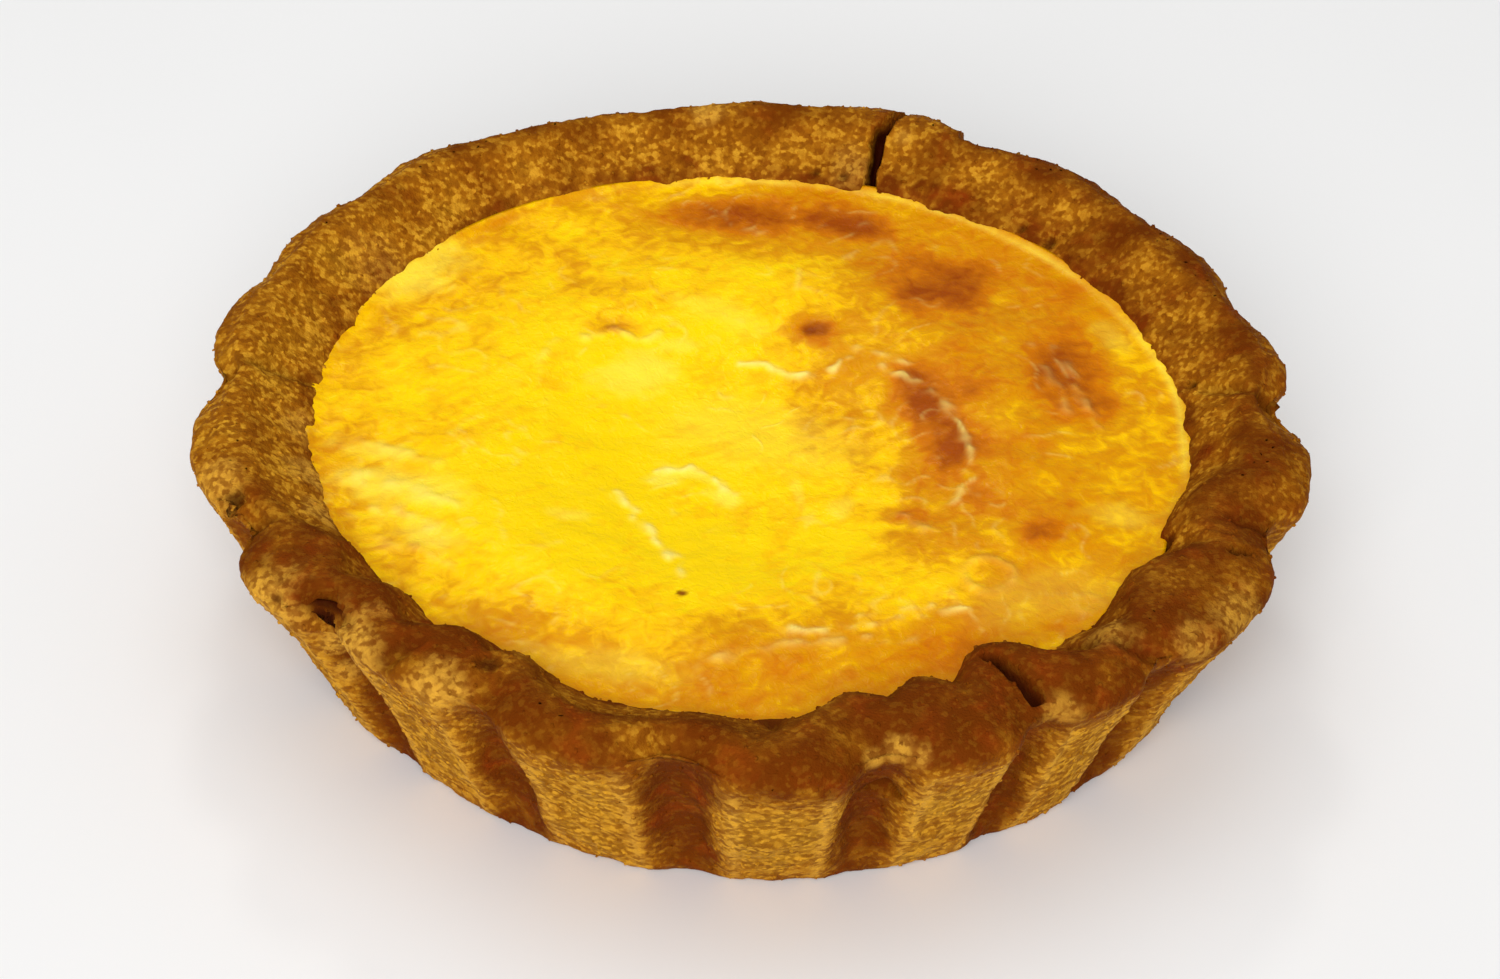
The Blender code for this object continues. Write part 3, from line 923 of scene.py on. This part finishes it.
def scatter_tree(name, material):
    """Puts a small ball on each of many points of the case."""
    tree, sockets, given = started_tree(name, GRAIN_INPUTS, "NodeSocketInt", 7)
    # None stand under the custard, on the base or in the cracks
    crumb, scorch = (
        add_node(tree, "GeometryNodeInputNamedAttribute", {"Name": key}, data_type="FLOAT").outputs[0]
        for key in ("crumb", "scorch")
    )
    clear = add_node(tree, "ShaderNodeMath", {0: crumb, 1: scorch}, operation="SUBTRACT")
    dots = add_node(
        tree,
        "GeometryNodeDistributePointsOnFaces",
        {
            "Mesh": given["Geometry"],
            "Distance Min": given["Spacing"],
            "Density Max": GRAIN_DENSITY,
            "Density Factor": clear.outputs[0],
            "Seed": given["Seed"],
        },
        distribute_method="POISSON",
    )
    sink = add_node(tree, "ShaderNodeMath", {0: given["Sunk"], 1: -1.0}, operation="MULTIPLY")
    inward = add_node(
        tree,
        "ShaderNodeVectorMath",
        {0: dots.outputs["Normal"], "Scale": sink.outputs[0]},
        operation="SCALE",
    )
    lowered = add_node(
        tree,
        "GeometryNodeSetPosition",
        {"Geometry": dots.outputs["Points"], "Offset": inward.outputs[0]},
    )
    radius = add_node(tree, "ShaderNodeMath", {0: given["Grain Size"], 1: 0.5}, operation="MULTIPLY")
    ball = add_node(
        tree, "GeometryNodeMeshIcoSphere", {"Radius": radius.outputs[0], "Subdivisions": 1}
    )
    size, spin = (
        add_node(
            tree,
            "FunctionNodeRandomValue",
            {0: least, 1: most, "Seed": given["Seed"]},
            data_type="FLOAT_VECTOR",
        ).outputs[0]
        for least, most in (GRAIN_SCALES, ANY_TURN)
    )
    copies = add_node(
        tree,
        "GeometryNodeInstanceOnPoints",
        {"Points": lowered.outputs[0], "Instance": ball.outputs[0], "Rotation": spin, "Scale": size},
    )
    finish_tree(tree, copies.outputs[0], material)
    return tree, sockets


grain_tree, grain_sockets = scatter_tree("grain_scatter", shortcrust)
crust_grains = grown(pastry_case, "crust_grains", grain_tree, grain_sockets, GRAIN_INPUTS)
keep_inside(crust_grains, "crust")
print("grains:", triangles_in(crust_grains), "triangles")

# %% [markdown]
# ## The custard
#
# Egg custard rises a little in the oven and sinks again as it cools, so its skin has a shallow
# hollow with a low swelling round it. The skin is thin and elastic: it wrinkles, blisters and
# toasts in patches. The form is a formula, the same one as in the solid, and the wrinkles are
# paths, which lift the points near them.

# %% Form of the skin
SUNK_MIDDLE = (0.5, -3.0)
SUNK_RADIUS = 15.0
SUNK_DEPTH = 0.7
SWELL_WIDTH = 5.5
SWELL_HEIGHT = 0.6
CUSTARD_COLUMNS = 620
CUSTARD_RING_STEP = 0.24
# How far the filling reaches into the crust, so that no gap shows between them
BITE = 0.5


def custard_height(x, y):
    """The skin's height: a hollow in the middle, a swelling round it, and a slow wave."""
    away = np.hypot(x - SUNK_MIDDLE[0], y - SUNK_MIDDLE[1])
    sunk = SUNK_DEPTH * (1.0 - smooth_step((away - 0.4 * SUNK_RADIUS) / (0.7 * SUNK_RADIUS)))
    swell = SWELL_HEIGHT * np.exp(-(((away - SUNK_RADIUS - SWELL_WIDTH) / SWELL_WIDTH) ** 2))
    wave = 0.15 * np.sin(0.11 * x + 0.6) * np.cos(0.13 * y - 0.4)
    return CUSTARD_LEVEL - sunk + swell + wave


# A wrinkle of the skin: a path in the plane, width and height in millimetres, and how strong the
# painted glint along it is
Wrinkle = namedtuple("Wrinkle", "path width height pale")
WRINKLES = [Wrinkle(*row) for row in (
    (((7.1, 8.7), (9.4, 8.1), (11.2, 6.9), (12.7, 5.4), (14.1, 3.4), (15.1, 1.4), (15.6, -0.7),
      (15.9, -3), (15.7, -5.3), (15.1, -7), (14.4, -8.2)), 0.55, 0.16, 0.6),
    (((7.6, 9.9), (9.6, 9.2), (11.6, 8)), 0.5, 0.14, 0.6),
    (((-1, 8), (0.5, 8.4), (1.6, 7.6), (2.7, 7), (4.2, 6.8), (5.7, 7.4), (6.3, 8.5)), 0.5, 0.16, 1),
    (((-9.9, -7.5), (-8, -9.8), (-6.8, -11.9), (-5.4, -14.4), (-4.1, -17.4)), 0.6, 0.14, 0.9),
    (((-7.1, -5.6), (-5.7, -4.4), (-4.3, -4.1), (-2.6, -5.6), (-0.9, -7)), 0.6, 0.16, 1),
    (((3.6, -23.1), (5.6, -23), (7, -22.6)), 0.8, 0.18, 1),
    (((7, -22.6), (9.4, -21.6), (11.5, -20.8), (13.5, -20.3), (15.3, -20.2)), 0.5, 0.16, 0.8),
    (((8, -21.2), (10.4, -20.2), (13, -19.6)), 0.5, 0.14, 0.6),
    (((-2.8, -26.8), (-0.1, -25.7), (2.6, -24.5), (7.4, -23.7), (12.1, -23)), 0.7, 0.12, 0.3),
    (((-29.4, -3), (-26, -4.6), (-22.6, -6)), 1.4, 0.14, 0.2),
    (((-28.7, -7.4), (-25, -8.6), (-20.9, -10.8)), 1.6, 0.16, 0.3),
    (((-27.4, -11.4), (-24.6, -11.6), (-21.6, -13.6)), 1.5, 0.14, 0.3),
    (((-26.4, -15), (-23, -15.6), (-20.2, -17.4)), 1.2, 0.12, 0.15),
    (((-15.2, 9.4), (-15.6, 5.6), (-15.2, 1)), 0.9, 0.12, 0.2),
    (((-12.6, 9.6), (-10.6, 10.4), (-8.6, 9.9), (-7.2, 10.4)), 1, 0.2, 0.3),
    (((10.6, -9.4), (12.2, -10.2), (13, -11.6)), 0.8, 0.14, 0.2),
    (((23, 9.6), (23.8, 7.2), (24.4, 4.6), (25.6, 1.6)), 0.7, 0.2, 0.2),
    (((21.6, 8), (22.6, 5.4), (23.2, 3)), 0.7, 0.16, 0.2),
)]
# A blister is a ring: its middle, radius, width and height, and how strong its painted glint is
BLISTERS = (((17.0, -16.2), 1.75, 0.75, 0.22, 0.15), ((23.9, -18.4), 0.9, 0.6, 0.12, 0.1))
# How far the puckers stand up, and how strong their painted glint is
PUCKER_HEIGHT = 0.05
PUCKER_GLINT = 0.28


def in_plane(flat):
    """The same points with a height of 0, as the noise takes them."""
    return np.column_stack([flat, np.zeros(len(flat))])


def skin_wrinkles(flat):
    """Lift, and the paleness of a painted glint, that the wrinkles, blisters and puckers give to
    points.
    """
    places = in_plane(flat)
    # Wrinkles break off here and there, and wander about their paths
    broken = np.clip(0.6 + 1.9 * uneven(places, 1.0, 5), 0.0, 1.3)
    wandering = flat + 0.55 * np.column_stack([uneven(places, 1.3, 11), uneven(places, 1.3, 12)])
    lift = np.zeros(len(flat))
    pale = np.zeros(len(flat))
    for wrinkle in WRINKLES:
        away = distance_to_path(wandering, [np.array(place) for place in wrinkle.path])
        profile = np.exp(-((away / (0.5 * wrinkle.width)) ** 2)) * broken
        lift = np.maximum(lift, wrinkle.height * profile)
        pale = np.maximum(pale, wrinkle.pale * profile)
    for middle, radius, width, height, ring_glint in BLISTERS:
        away = np.abs(np.hypot(flat[:, 0] - middle[0], flat[:, 1] - middle[1]) - radius)
        profile = np.exp(-((away / (0.5 * width)) ** 2)) * np.clip(broken, 0.5, 1.0)
        lift = np.maximum(lift, height * profile)
        pale = np.maximum(pale, ring_glint * profile)
    # Puckers: thin curls along the level lines of a noise, in some parts of the skin only
    curl = np.exp(-((uneven(places, 2.6, 13) / 0.05) ** 2)) * np.clip(broken, 0.0, 1.0)
    curl *= smooth_step((uneven(places, 5.0, 14) - 0.05) / 0.2)
    return lift + PUCKER_HEIGHT * curl, np.maximum(pale, PUCKER_GLINT * curl)


print(len(WRINKLES), "wrinkles and", len(BLISTERS), "blisters")

# %% [markdown]
# ## Where the custard is toasted
#
# Milk sugar browns wherever the skin comes near the heat, most at the back and on the right. Each
# blotch is an ellipse with a ragged edge. Wide faint ones give the orange side, and small strong
# ones give the brown spots. The wide faint ones along the front are partly painted shade of the
# front rim, and one negative blotch paints a sheen on the middle left. The result is stored as
# toast and painted shade, from egg yellow at 0 to brown at 1.

# %% Toast, pale streaks and spots
# A blotch: its middle, half length and half width, turn in degrees, and strength. The wide faint
# ones along the front are partly painted shade of the front rim. The last of the toasted ones is
# negative: it lightens the middle on the left, a painted sheen.
Blotch = namedtuple("Blotch", "x y length width turn strength")
TOAST_AND_SHADE = [Blotch(*row) for row in (
    (-1.8, 27.4, 5.8, 2.4, 0, 0.66), (7, 27, 3.4, 2.2, -10, 0.5), (14.6, 18.6, 4.2, 3.6, 20, 0.46),
    (23, 8.6, 2.8, 4, -10, 0.5), (24.6, 4.4, 2.2, 2.8, 0, 0.42), (12.6, 5, 2.8, 2.6, 0, 0.34),
    (13.6, 1, 2.6, 4.6, 10, 0.36), (15, -4, 2, 3.6, 0, 0.26), (21, -11.6, 2.1, 1.3, 20, 0.34),
    (11.2, -9.2, 1.8, 1.1, 0, 0.34), (-10.8, 11, 1.9, 1.2, 0, 0.32), (4.5, 12.2, 1.9, 1.6, 0, 0.34),
    (12, 22, 13, 7.5, -25, 0.26), (19, 8, 9.5, 14, 0, 0.28), (22, -7, 8, 9, 0, 0.16),
    (20, -19, 8, 5, 25, 0.14), (-2, 24, 12, 5, 5, 0.14), (-18, 16, 9, 4.5, 40, 0.08),
    (8, -28, 16, 6, 12, 0.18), (-12, -27, 12, 5.5, -20, 0.12), (-21, 2, 5, 5, 0, 0.05),
    (8.5, 7, 8, 10, 0, 0.25), (15.5, -9.5, 6, 9, 0, 0.24), (4, -23, 13, 5, 5, 0.18),
    (-9, -4, 9, 14, 0, -0.12),
)]
# Pale streaks of the skin, partly a painted sheen where the skin catches the light
PALE_AND_SHEEN = [Blotch(*row) for row in (
    (-8.6, 6, 3.4, 2, 35, 0.8), (-5.6, 9.6, 1.6, 0.9, 10, 0.7), (-25.2, 17.8, 4.6, 2.6, 50, 0.8),
    (-24.6, -8.6, 4.8, 2.4, -15, 0.85), (-22.4, -14.2, 3.6, 1.6, -25, 0.75),
    (-26.8, -4.6, 3.4, 1.4, -15, 0.7), (-12.5, -11.2, 1.4, 0.8, 0, 0.6),
    (-6.2, -5.6, 1.5, 0.9, 20, 0.9), (-4.2, -4.8, 2.4, 0.5, -25, 0.7),
    (-1.6, -7.4, 1.4, 0.8, -30, 1), (3.6, -6.6, 0.5, 2.2, 10, 0.5), (6.8, -8, 0.8, 1.4, 0, 0.5),
    (0.4, 0, 8, 4, -15, 0.35), (-2.6, 13.6, 4, 1.4, -25, 0.35), (20.5, -18, 6.5, 3, 25, 0.3),
    (26.6, -8.6, 2.6, 1.4, 0, 0.4), (26.6, 13.6, 2.4, 1.2, -60, 0.4), (-9, -27, 6, 1.8, -10, 0.35),
)]
SPOTS = [Blotch(*row) for row in (
    (4.5, 12.2, 1.35, 1, 0, 0.55), (4.1, 12.1, 0.6, 0.5, 0, 0.25), (-4.3, -19.4, 0.42, 0.4, 0, 0.9),
    (-10.8, 11.2, 0.6, 0.3, 20, 0.35),
)]


def blotched(flat, blotches, ragged, softness):
    """The sum of the blotches at points in the plane. Softness is how much of each one fades."""
    total = np.zeros(len(flat))
    for blotch in blotches:
        turn = math.radians(blotch.turn)
        dx, dy = flat[:, 0] - blotch.x, flat[:, 1] - blotch.y
        u = (dx * math.cos(turn) + dy * math.sin(turn)) / blotch.length
        v = (dy * math.cos(turn) - dx * math.sin(turn)) / blotch.width
        # Large blotches are less ragged for their size
        away = np.hypot(u, v) + ragged * np.clip(4.0 / blotch.length, 0.35, 1.0)
        total += blotch.strength * (1.0 - smooth_step((away - 0.8 + softness / 2) / softness))
    return np.clip(total, -0.2, 1.0)


print(len(TOAST_AND_SHADE), "toasted,", len(PALE_AND_SHEEN), "pale and", len(SPOTS), "burnt blotches")

# %% Points of the filling
# Two hidden rings under the skin: radius, height, and the value that they store as edge
HIDDEN_RINGS = ((POCKET_RADIUS - 0.5, 5.0, 0.8), (CUSTARD_RADIUS - 1.6, 12.4, 1.0))
SKIN_BOTTOM = 13.0


def custard_rows():
    """Rings from the edge of the skin to its middle, and the hidden ones before them."""
    angles = np.arange(CUSTARD_COLUMNS) * 360.0 / CUSTARD_COLUMNS
    edge_point = SECTION[CUSTARD_ROW]._replace(radius=CUSTARD_RADIUS + 0.2 + BITE)
    edge = case_ring(edge_point, angles)[:, :2]
    middle = np.array(middle_at(CUSTARD_LEVEL))
    count = int(CUSTARD_RADIUS / CUSTARD_RING_STEP)
    rings = []
    for radius, height, _ in HIDDEN_RINGS:
        flat = middle + (edge - middle) * (radius / CUSTARD_RADIUS)
        rings.append(np.column_stack([flat, np.full(len(flat), height)]))
    skin_shares = np.linspace(1.0, 1.0 / count, count)
    for share in skin_shares:
        flat = middle + (edge - middle) * share
        rings.append(np.column_stack([flat, custard_height(flat[:, 0], flat[:, 1])]))
    shares = np.concatenate([[ring[2] for ring in HIDDEN_RINGS], skin_shares])
    return np.vstack(rings), np.repeat(shares, CUSTARD_COLUMNS), middle


skin_points, skin_share, skin_middle = custard_rows()
skin_flat = skin_points[:, :2]
on_top = skin_points[:, 2] > SKIN_BOTTOM
print("points in the filling:", len(skin_points), "of which", int(on_top.sum()), "in the skin")

# %% Toast, paleness and lift of each point
# Strokes: noise that is stretched four times along one direction of the skin
STROKE_DIRECTION = np.array([0.82, 0.57])
STROKE_STRETCH = 4.0
# The rim of the skin climbs a little up the crust
CLIMB_HEIGHT = 0.28
CLIMB_WIDTH = 0.7
# How far a burnt spot sinks, and how far a stroke stands up
SPOT_DEPTH = 0.07
STROKE_HEIGHT = 0.02

coarse = uneven(in_plane(skin_flat), 3.2, 6)
fine = uneven(in_plane(skin_flat), 0.9, 7)
with_stroke = skin_flat @ STROKE_DIRECTION
over_stroke = skin_flat @ np.array([-STROKE_DIRECTION[1], STROKE_DIRECTION[0]])
strokes = uneven(in_plane(np.column_stack([with_stroke / STROKE_STRETCH, over_stroke])), 0.7, 8)
toast = blotched(skin_flat, TOAST_AND_SHADE, 0.45 * coarse + 0.2 * fine + 0.2 * strokes, 1.5)
pale = blotched(skin_flat, PALE_AND_SHEEN, 0.5 * coarse + 0.3 * fine + 0.3 * strokes, 1.1)
spots = blotched(skin_flat, SPOTS, 0.2 * fine, 0.6)
lift, wrinkle_glint = skin_wrinkles(skin_flat)
inward = (1.0 - skin_share) * CUSTARD_RADIUS
climb = CLIMB_HEIGHT * np.exp(-((inward / CLIMB_WIDTH) ** 2))
# The skin's thin edge is pale at the back and right, 75 degrees to each side of 50
skin_angles = np.degrees(np.arctan2(skin_flat[:, 1], skin_flat[:, 0]))
edge_pale = 0.7 * np.exp(-(((inward - 0.7) / 0.3) ** 2)) * np.clip(0.7 + coarse, 0.0, 1.0)
edge_pale *= smooth_step((75.0 - np.abs(skin_angles - 50.0)) / 30.0)
skin_points[:, 2] += on_top * (lift + climb - SPOT_DEPTH * spots + STROKE_HEIGHT * strokes)
print("mean toast", round(float(toast.mean()), 2), "highest wrinkle", round(float(lift.max()), 2))

# %% Mesh of the filling
custard_blank = mesh_from_rows(
    "custard_blank",
    skin_points,
    CUSTARD_COLUMNS,
    (*middle_at(FLOOR_THICKNESS), FLOOR_THICKNESS + 0.3),
    (*skin_middle, float(custard_height(*skin_middle))),
    {
        "toast": toast,
        "pale": np.clip(pale + edge_pale, 0.0, 1.0),
        "glint": np.clip(wrinkle_glint, 0.0, 1.0),
        "stroke": strokes,
        "spot": spots,
        "edge": skin_share,
        "skin": on_top * smooth_step((1.0 - skin_share) / 0.03),
    },
)
print("custard:", len(custard_blank.data.polygons), "faces")

# %% [markdown]
# ## Baked egg custard
#
# Egg yolk, milk and sugar, set in the oven. It is a soft, wet solid: light goes a little way in
# and comes out again, and the skin on top is smooth and greasy, so it shines. Yellow deepens to
# orange and then to brown where it toasted, and towards the edge, where the deeper colour is partly
# painted shade of the rim. Fine strokes in the colour follow the skin, pale streaks are partly a
# painted sheen, and along the wrinkles a painted glint makes the skin look almost white.

# %% Custard material
# Sizes in millimetres: clouds and wisps in the colour, and the fine grain of the skin
CLOUD = 7.0
WISP = 1.6
SKIN_GRAIN = 0.6
YOLK = "#FFD600"
AMBER = "#FCC200"
GOLD = "#E09A00"
ORANGE = "#D07600"
TOASTED = "#A04800"
# Pale streaks, partly a painted sheen
CREAM_AND_SHEEN = "#FFEA4C"
# A painted glint for the wrinkles, blisters and puckers
PAINTED_GLINT = "#FFEC80"
BURNT = "#7A2800"


def baked_egg_custard():
    """A soft, wet solid under a thin shiny skin, from egg yellow to toasted brown."""
    material, tree, shader, place, value = started_material(
        "baked_egg_custard", ("toast", "pale", "glint", "stroke", "spot", "edge")
    )
    clouds, wisps, fine_skin = (
        add_node(
            tree,
            "ShaderNodeTexNoise",
            {"Vector": place, "Scale": scale_for(size), "Detail": detail, "Distortion": distortion},
        ).outputs["Fac"]
        for size, detail, distortion in ((CLOUD, 4.0, 0.0), (WISP, 3.0, 1.2), (SKIN_GRAIN, 3.0, 0.8))
    )
    # Each texture shifts the toasting from start to end while it runs from low to high
    amount = value["toast"]
    for texture, low, high, start, end in (
        (clouds, 0.3, 0.7, -0.06, 0.14),
        (wisps, 0.3, 0.7, -0.09, 0.09),
        (value["stroke"], -0.5, 0.5, -0.05, 0.05),
        # Towards the edge the toasting rises: partly browner custard, partly painted shade of the rim
        (value["edge"], 0.72, 1.0, 0.0, 0.17),
    ):
        reach = {"Value": texture, 1: low, 2: high, 3: start, 4: end}
        shift = add_node(tree, "ShaderNodeMapRange", reach).outputs[0]
        amount = add_node(tree, "ShaderNodeMath", {0: amount, 1: shift}, operation="ADD").outputs[0]
    # From yellow, each further colour takes over between two amounts of toasting
    tone = linear(YOLK)
    for low, high, colour in (
        (0.0, 0.14, AMBER),
        (0.14, 0.27, GOLD),
        (0.27, 0.48, ORANGE),
        (0.48, 0.85, TOASTED),
    ):
        share = add_node(tree, "ShaderNodeMapRange", {"Value": amount, 1: low, 2: high}).outputs[0]
        coat = {0: share, 6: tone, 7: linear(colour)}
        tone = add_node(tree, "ShaderNodeMix", coat, data_type="RGBA").outputs[2]
    # Over them lie the cream streaks and painted sheen, the painted glints of the wrinkles, and burnt
    # spots
    for key, strength, colour in (
        ("pale", 0.65, CREAM_AND_SHEEN),
        ("glint", 0.7, PAINTED_GLINT),
        ("spot", 1.0, BURNT),
    ):
        cover = add_node(tree, "ShaderNodeMath", {0: value[key], 1: strength}, operation="MULTIPLY")
        coat = {0: cover.outputs[0], 6: tone, 7: linear(colour)}
        tone = add_node(tree, "ShaderNodeMix", coat, data_type="RGBA").outputs[2]
    tree.links.new(tone, shader.inputs["Base Color"])
    wet = add_node(tree, "ShaderNodeMapRange", {"Value": wisps, 1: 0.35, 2: 0.65, 3: 0.2, 4: 0.4})
    tree.links.new(wet.outputs[0], shader.inputs["Roughness"])
    shader.inputs["IOR"].default_value = 1.4
    shader.inputs["Specular IOR Level"].default_value = 0.07
    shader.inputs["Subsurface Weight"].default_value = 0.1
    shader.inputs["Subsurface Radius"].default_value = (1.0, 0.6, 0.1)
    shader.inputs["Subsurface Scale"].default_value = 1.2 * MM
    bump = add_node(
        tree, "ShaderNodeBump", {"Height": fine_skin, "Strength": 0.4, "Distance": 0.2 * MM}
    )
    tree.links.new(bump.outputs[0], shader.inputs["Normal"])
    return material


custard_finish = baked_egg_custard()
print("custard material:", len(custard_finish.node_tree.nodes), "nodes")

# %% Grow the skin's puffs and fine folds
SKIN_LAYERS = (("Puff", 5.0, 0.5), ("Ripple", 1.8, 0.16), ("Fine", 0.8, 0.05))
skin_tree, skin_sockets = relief_tree("skin_relief", SKIN_LAYERS, "skin", 9.0, custard_finish)
custard_filling = grown(
    custard_blank, "custard_filling", skin_tree, skin_sockets, relief_inputs(SKIN_LAYERS)
)
bpy.data.objects.remove(custard_blank)
print("custard:", triangles_in(custard_filling), "triangles")

# %% [markdown]
# ## Attach the pieces to the tart's body and hide the solids
#
# The fine meshes stand for the plain solids, so the solids are hidden. Everything rides on the one
# body of the tart.

# %% Attach the pieces and hide the solids
for piece, node in ((pastry_case, "crust"), (custard_filling, "custard")):
    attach(piece, "root")
    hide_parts(node)
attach(crust_grains, "root")
